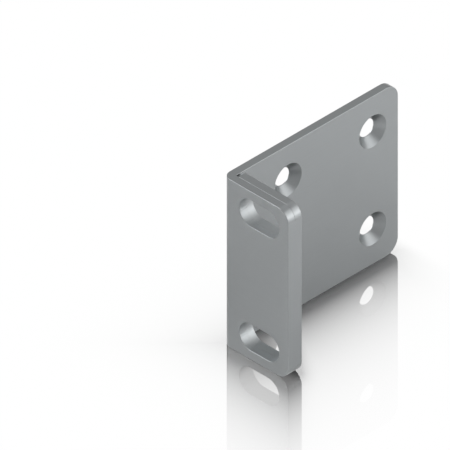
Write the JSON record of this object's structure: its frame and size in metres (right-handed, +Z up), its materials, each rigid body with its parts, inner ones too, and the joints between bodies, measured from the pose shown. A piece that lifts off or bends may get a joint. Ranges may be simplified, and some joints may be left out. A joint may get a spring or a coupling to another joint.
{
  "type": "rack mount ear bracket",
  "caption": "L-shaped sheet steel rack ear: a side plate with countersunk screw holes and a front flange, folded back to double thickness, with level rack slots.",
  "frame": {"origin": "centre of the pattern of countersunk screw holes, on the face that lies against the device", "axes": "+X away from the device's side, +Y towards the rear of the rack, +Z up"},
  "size_m": [0.0195, 0.05, 0.043],
  "materials": {
    "steel": "smooth satin grey metal with a fine level grain"
  },
  "bodies": {
    "root": {"ear_bracket": "steel"}
  },
  "joints": []
}
